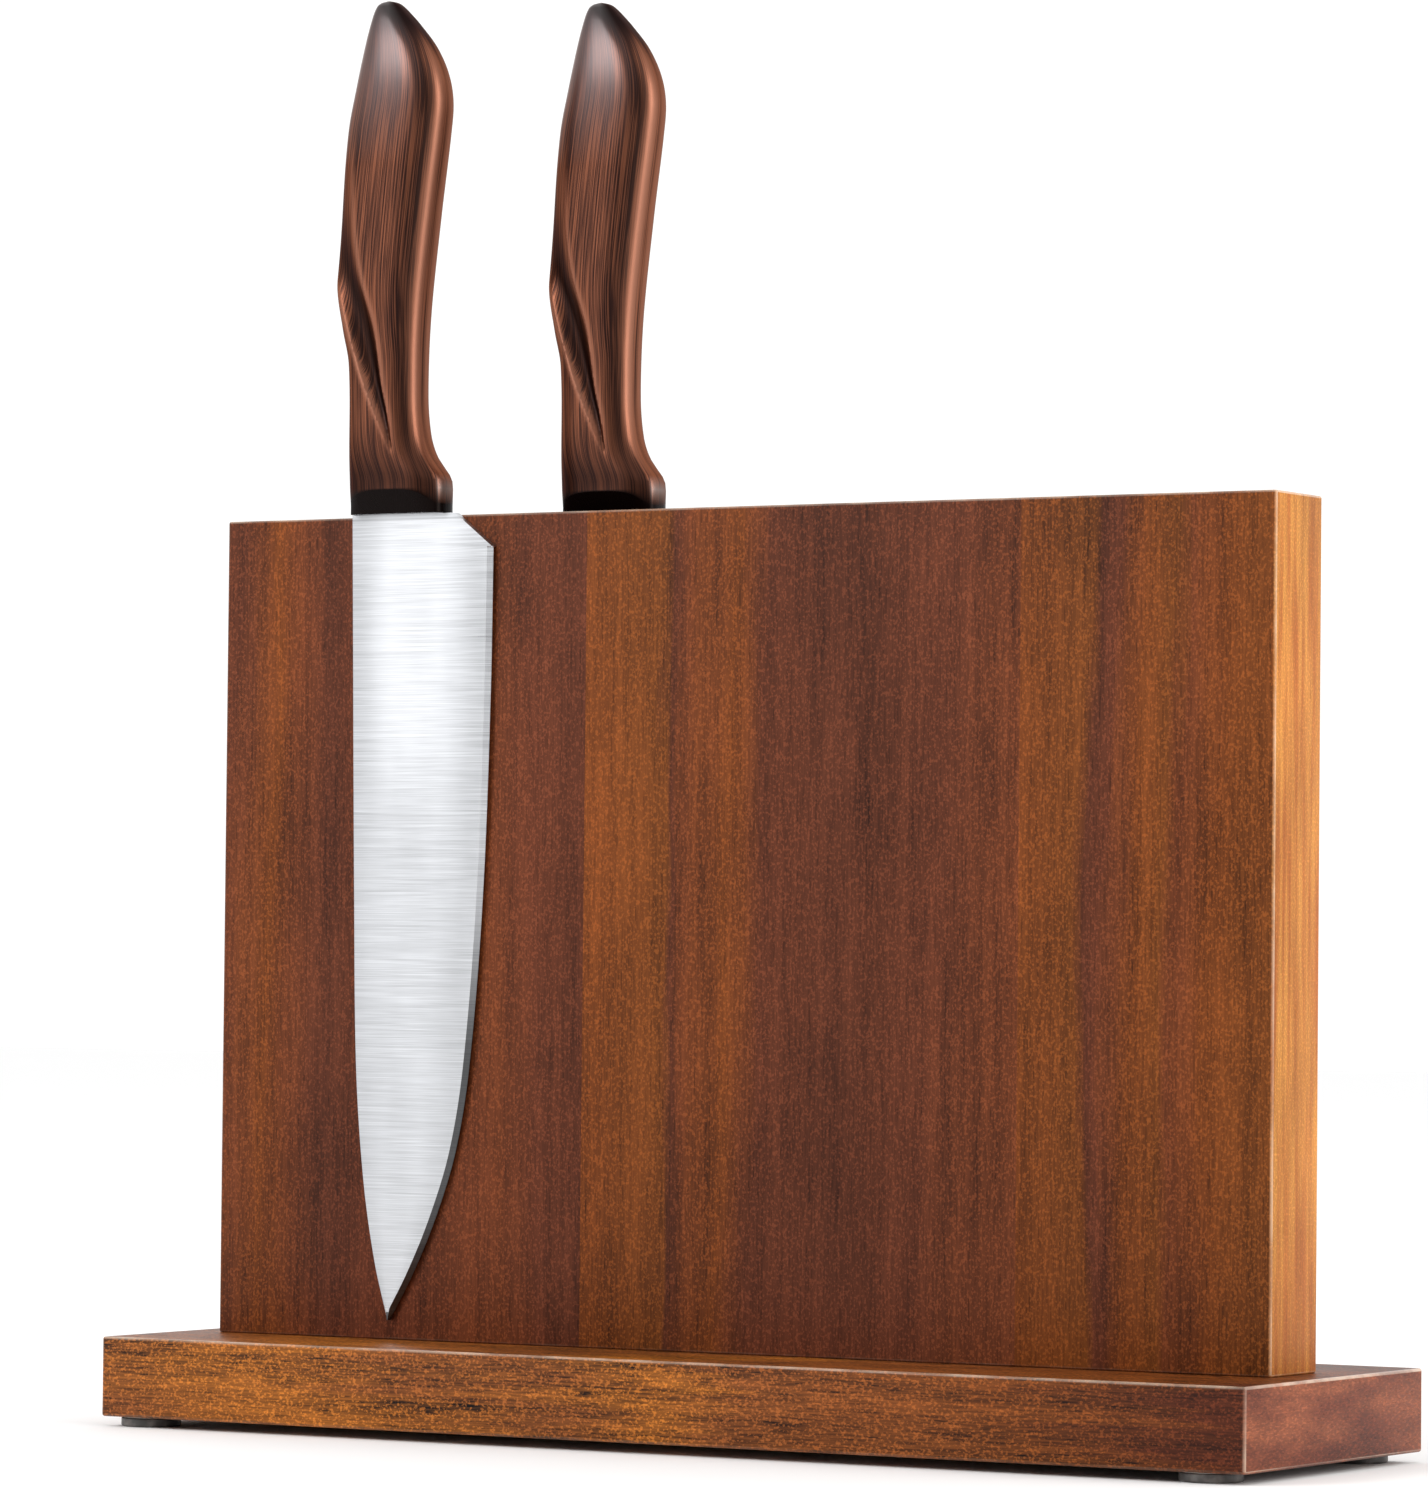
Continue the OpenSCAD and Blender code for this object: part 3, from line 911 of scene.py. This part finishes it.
# %% Handle outline
SPINE_SIDE = [(0, 0.9), (10, 0.4), (38, -0.1), (47, -2), (58, -3.8), (78, -2.8), (97, -1),
              (108, 1.2), (118, 3.3), (125, 4.9), (128.5, 6), (129.6, 7.1), (HANDLE_L, 8.6)]
EDGE_SIDE = [(0, 27.9), (6, 28), (9, 27.5), (12, 25.2), (15, 23), (20, 21.2), (30, 20.2),
             (50, 20.7), (75, 23.4), (96, 26.2), (104, 26.8), (111, 25.5), (118, 22.1),
             (124, 17.3), (127, 14.5), (128.8, 12.6), (129.6, 11.3), (HANDLE_L, 9.6)]
HALF_THICK = [(0, 7.5), (12, 7.4), (32, 7.1), (60, 7.9), (95, 7.9), (108, 7.4),
              (118, 6.1), (125, 4.3), (128.5, 2.8), (129.6, 1.7), (HANDLE_L, 0.8)]
UPPER_RIDGE = [(16, 16), (24, 14.4), (32, 12.5), (47, 10.1), (62, 5.4), (77, 3.2), (110, 1.6)]
LOWER_RIDGE = [(10, 19), (17, 14.8), (24, 11.3), (32, 7.5), (40, 4.1), (54, -1.2), (70, -7),
               (110, -16)]
VALLEY_DEPTH = [(14, 0), (20, 0.7), (27, 1.6), (36, 2.2), (47, 2.3), (60, 2), (80, 1.1),
                (104, 0)]
SECTION_POWER = 3
FLUTE_IN = 1.9
FLUTE_W = 1.6
FLUTE_DEPTH = 0.5


def valley(x, h):
    """0 on either ridge and 1 in the middle of the valley between them."""
    low = along(LOWER_RIDGE, h)
    high = along(UPPER_RIDGE, h)
    return np.sin(np.pi * np.clip((x - low) / np.maximum(high - low, 0.5), 0, 1))


def carved(x, h):
    """How far a face is carved in, in mm."""
    off = (x - along(EDGE_SIDE, h) + FLUTE_IN) / FLUTE_W
    return np.maximum(along(VALLEY_DEPTH, h), 0) * valley(x, h) + FLUTE_DEPTH * np.exp(-off**2)


def handle_ring(h, angles):
    """One ring of the handle's surface, at a height above the blade."""
    low, high, thick = along(SPINE_SIDE, h), along(EDGE_SIDE, h), along(HALF_THICK, h)
    half = (high - low) / 2
    c, s = np.cos(angles), np.sin(angles)
    reach = np.abs(c / half)**SECTION_POWER + np.abs(s / thick)**SECTION_POWER
    r = reach**(-1 / SECTION_POWER)
    x = (low + high) / 2 + r * c
    y = r * s * (1 - carved(x, h) / thick * min(thick / 4, 1))
    return np.stack([x, y, np.full_like(x, h)], -1)


print("handle is", 2 * float(along(HALF_THICK, 60)), "mm thick at 60 mm")

# %% [markdown]
# ## The handle's mesh
# The lower end is a flat land round the blade, and its two sides slope up to the faces. The
# rest could be rings at even steps, but the outline turns fastest at the butt. So the rings
# stand closer together there.

# %% Handle mesh
HANDLE_SIDES = 144
HANDLE_RINGS = 190
RING_CROWDING = 0.86
END_LAND = 4.1
END_RIM = 2.2
END_SLOPE = 1.06


def end_height(y):
    """How high the handle's sloping lower end stands, a distance from the middle plane."""
    return END_RIM + END_SLOPE * np.maximum(np.abs(y) - END_LAND, 0)


def handle_shape():
    angles = np.linspace(0, 2 * np.pi, HANDLE_SIDES, endpoint=False)
    foot = handle_ring(0.0, angles)
    land, rim = foot.copy(), foot.copy()
    land[:, 1] = np.clip(foot[:, 1], -END_LAND, END_LAND)
    rim[:, 2] = end_height(foot[:, 1])
    start = rim[:, 2].max() + 0.4
    steps = np.sin(np.linspace(0, np.pi / 2, HANDLE_RINGS))**RING_CROWDING
    heights = start + (HANDLE_L - start) * steps
    return loft(np.array([land, rim] + [handle_ring(h, angles) for h in heights]))


print("points on a handle:", HANDLE_SIDES * (HANDLE_RINGS + 2))

# %% [markdown]
# ## What the handle's mesh tells its finish
# Brushing follows the handle's curves, dark plating stays in its hollows, and ridges wear
# bright. Painting masks by hand would be slow and hard to change. The formulas that shape the
# handle also say where its hollows and ridges are, so each point carries those values:
# - flow: where the point lies round and along the handle, for brush lines
# - valley: how deep in a hollow it is, with painted shade towards the upper ridge and along
#   the flute's crease
# - worn: how much a hand has rubbed the ridges, and a painted highlight strip
#   down the edge side
# - silhouette: painted shade down the middle line of the edge side
# - tip, smoked, lip and end: the dark butt, the darker neck, its bright lip and the cut end
# - glaze: the smooth lacquer on the upper part of each face, with a painted grey sheen
#
# Heights are in mm. A turn is an angle round the handle, from the edge side's middle line.

# %% Values on the handle's mesh
FLOW_R = 13
NECK_START = 10
RIDGE_W = 0.8
# Where the painted highlight strip lies round the edge side, as a turn.
HIGHLIGHT_STRIP_TURN = 0.36
FACE_TURN = 0.5
LIP_HEIGHT = 6
GLAZE_START = 88
TIP_START = 121


def fade(value, start, length):
    """0 up to start, 1 from a length past it, and even between them."""
    return np.clip((value - start) / length, 0, 1)


def hump(value, middle, width, power=2):
    """1 at the middle, and falling off smoothly on both sides."""
    return np.exp(-((value - middle) / width)**power)


def add_vectors(mesh, name, vectors):
    mesh.attributes.new(name, "FLOAT_VECTOR", "POINT").data.foreach_set(
        "vector", np.ravel(vectors).astype(np.float32))


def mark_handle(mesh):
    """Gives each point of a handle the values that its finish reads."""
    x, y, h = np.array([v.co for v in mesh.vertices]).T / MM
    low, high = along(SPINE_SIDE, h), along(EDGE_SIDE, h)
    upper, lower = along(UPPER_RIDGE, h), along(LOWER_RIDGE, h)
    around = np.arctan2(y, x - (low + high) / 2)
    turn = np.arctan2(np.abs(y) / along(HALF_THICK, h), 2 * (x - (low + high) / 2) / (high - low))
    depth = np.clip(along(VALLEY_DEPTH, h) / 1.8, 0, 1)
    # Painted shade: the valley grows darker towards the upper ridge.
    rise = np.clip((x - lower) / np.maximum(upper - lower, 0.5), 0, 1)
    neck = fade(h, NECK_START, 20)
    # Painted shade along the flute's crease.
    crease = hump(x, high - FLUTE_IN - 0.4, 1.3) * neck * (1 - fade(h, 108, 12))
    ridge = 0.6 * hump(x, upper + 0.4, RIDGE_W) + hump(x, lower - 0.2, RIDGE_W)
    # A painted highlight strip down the edge side.
    highlight_strip = hump(turn, HIGHLIGHT_STRIP_TURN, 0.24) * neck * (1 - fade(h, 104, 20))
    lean = np.clip((x - low) / (high - low), 0, 1)
    add_vectors(mesh, "flow", np.stack([FLOW_R * np.cos(around), FLOW_R * np.sin(around), h],
                                       -1) * MM)
    # Patina in the hollows, with painted shade towards the upper ridge and along the crease.
    add_values(mesh, "valley", valley(x, h) * depth * (0.35 + 0.65 * rise) + 0.5 * crease)
    # Worn ridges, and the painted highlight strip.
    add_values(mesh, "worn", np.clip(ridge * depth + highlight_strip, 0, 1))
    # Painted shade down the middle line of the edge side.
    add_values(mesh, "silhouette", (1 - fade(turn, 0, 0.2)) * neck)
    add_values(mesh, "tip", fade(h + 8 * lean, TIP_START, 12)**1.5)
    # Lacquer on the upper faces, with a painted sheen in their colour.
    add_values(mesh, "glaze", fade(h, GLAZE_START, 26) * fade(turn, 0.75, 0.6))
    # The faces darker towards the neck.
    add_values(mesh, "smoked", (1 - fade(h, NECK_START, 22)) * (turn > FACE_TURN))
    add_values(mesh, "lip", hump(h, LIP_HEIGHT, 2.2, 4) * (1 - fade(turn, 0.3, 0.3)))
    add_values(mesh, "end", h <= end_height(y) + 0.01)


print("a value fades from", float(fade(10, 10, 20)), "to", float(fade(30, 10, 20)))

# %% [markdown]
# ## Antique copper
# The handles are copper plated, darkened all over, and then brushed lengthwise, so bright
# copper shows where the brush reached and the dark stays in the hollows. Plain metal with one
# colour would look new. So two layers of long hair lines, and slow smoke, decide how far the
# brush reached. Then each mark on the mesh mixes in its own colour: a painted grey sheen on the
# glazed part, bare copper on worn ridges with a painted highlight strip, the silvery lip, and
# last the dark, which is patina in the hollows together with painted shade.

# %% Handle finish
COPPER_DARK = rgb(46, 28, 25)
COPPER_BRIGHT = rgb(132, 80, 58)
# A painted sheen: the grey-lilac of a reflection on the lacquered upper part.
PAINTED_SHEEN = rgb(66, 50, 52)
# Bare copper on worn ridges, and the painted highlight strip.
BARE_COPPER_AND_HIGHLIGHT = rgb(152, 108, 90)
SILVERY = rgb(132, 120, 116)
# The darkest tone: patina in the hollows, and painted shade.
PATINA_AND_SHADE = rgb(26, 15, 14)
CUT_END = rgb(8, 4, 4)
HAIR = (4400, 4400, 50)
HAIR_LINE = (2600, 2600, 26)
SMOKE = (130, 130, 34)
HAIR_DEPTH = 0.04 * MM


def antique_copper():
    finish = Finish("antique_copper")
    flow = finish.node("Attribute", {"attribute_name": "flow"}, (), "Vector")
    hollow = mesh_value(finish, "valley")
    worn = mesh_value(finish, "worn")
    tip = mesh_value(finish, "tip")
    end = mesh_value(finish, "end")
    lip = mesh_value(finish, "lip")
    glaze = mesh_value(finish, "glaze")
    smoked = mesh_value(finish, "smoked")
    silhouette = mesh_value(finish, "silhouette")
    hairs = cloudy(finish, stretched(finish, flow, HAIR), 2.0, 0.6)
    lines = cloudy(finish, stretched(finish, flow, HAIR_LINE), 2.0, 0.6)
    smoke = cloudy(finish, stretched(finish, flow, SMOKE), 2.0)
    reach = (0.55 * hairs + 0.45 * lines + 0.22 * (smoke - 0.5) + 0.2 * worn
             - 0.1 * hollow - 0.2 * tip)
    brushed = between(finish, reach, 0.4, 0.62)
    # Patina in the hollows, the dark butt and neck, and painted shade, less where worn or
    # highlighted.
    dark = hollow + 0.9 * tip + 0.65 * smoked + 0.35 * silhouette - 0.5 * worn
    plated = mixed(finish, COPPER_DARK, COPPER_BRIGHT, brushed)
    # Painted sheen on the glazed part.
    with_painted_sheen = mixed(finish, plated, PAINTED_SHEEN, 0.65 * glaze)
    # Bare copper and the painted highlight.
    bare_and_highlight = mixed(finish, with_painted_sheen, BARE_COPPER_AND_HIGHLIGHT, 0.55 * worn)
    silvery = mixed(finish, bare_and_highlight, SILVERY, 0.85 * lip)
    # Patina and painted shade.
    with_patina_and_shade = mixed(finish, silvery, PATINA_AND_SHADE, between(finish, dark, 0.1, 0.95))
    relief = (hairs + 0.8 * lines) * (1 - end) * (1 - 0.6 * glaze)
    return finish.surface({
        "Base Color": mixed(finish, with_patina_and_shade, CUT_END, end),
        "Metallic": 0.9 - 0.9 * end,
        "Roughness": 0.4 - 0.06 * brushed - 0.1 * end + 0.08 * worn,
        "Normal": bumped(finish, relief, 0.3, HAIR_DEPTH),
        "Specular IOR Level": 0.1,
        "Specular Tint": (0.55, 0.42, 0.38, 1),
        "Coat Weight": (0.08 + 0.92 * glaze) * (1 - end),
        "Coat Roughness": 0.28})


copper = antique_copper()
print("copper uses", len(copper.node_tree.nodes), "nodes")

# %% [markdown]
# ## Placing the handles
# Both handles come from the same formula. Each gets a mesh of its own, so that it can move
# with its knife and be replaced by itself.

# %% Handles on their knives
HANDLE_CREASE = 28
for side in ("front", "back"):
    handle = finished_piece(handle_shape(), side + "_handle_copper", HANDLE_CREASE)
    mark_handle(handle.data)
    handle.data.transform(Matrix.Translation(knife_origin(side)))
    handle.data.materials.append(copper)
    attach(handle, side + "_knife")
    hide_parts(side + "_handle")
    print(handle.name, "faces:", len(handle.data.polygons))

# %% [markdown]
# ## What the wood hides
# Screws, dowels, magnets and steel strips are right as the model gives them, and drawing them
# again would gain nothing. Each only needs its finish. All four finishes are two tones mixed
# by noise, so one function makes them, told how the noise is stretched, how metallic it is,
# and how its roughness varies: the screws' plating is smooth, the strips are rolled
# lengthwise, the magnets are cast and grainy, and the dowels are beech.

# %% Hidden pieces' finishes
def dress(node, finish):
    """Gives a model's own piece a finish in place of the one it came with."""
    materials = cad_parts[node].data.materials
    materials.clear()
    materials.append(finish)
    print(node, "is", finish.name)


def two_toned(name, first, second, factors, detail, metallic, roughness, relief=0):
    """A finish of two tones. roughness holds its least value and how much noise adds."""
    finish = Finish(name)
    noise = cloudy(finish, stretched(finish, place_of(finish), factors), detail)
    sockets = {"Base Color": mixed(finish, first, second, noise), "Metallic": metallic,
               "Roughness": roughness[0]}
    if roughness[1]:
        sockets["Roughness"] = roughness[0] + roughness[1] * noise
    if relief:
        sockets["Normal"] = bumped(finish, noise, relief)
    return finish.surface(sockets)


dress("assembly_screws", two_toned("yellow_plating", rgb(190, 160, 84), rgb(208, 186, 128),
                                   (500, 500, 500), 2.0, 1.0, (0.28, 0.15)))
dress("dowels", two_toned("beech", rgb(190, 152, 108), rgb(214, 180, 136),
                          (900, 900, 90), 3.0, 0.0, (0.6, 0)))
magnet_finish = two_toned("magnet_block", rgb(52, 52, 55), rgb(84, 84, 88),
                          (1200, 1200, 1200), 3.0, 0.4, (0.6, 0), relief=0.3)
strip_finish = two_toned("rolled_strip", rgb(120, 122, 126), rgb(168, 170, 174),
                         (20, 900, 900), 3.0, 1.0, (0.32, 0.2))
for level_name in ("upper", "middle", "lower"):
    dress("steel_strips_" + level_name, strip_finish)
    for side in ("front", "back"):
        dress(f"{side}_magnets_{level_name}", magnet_finish)

# %% [markdown]
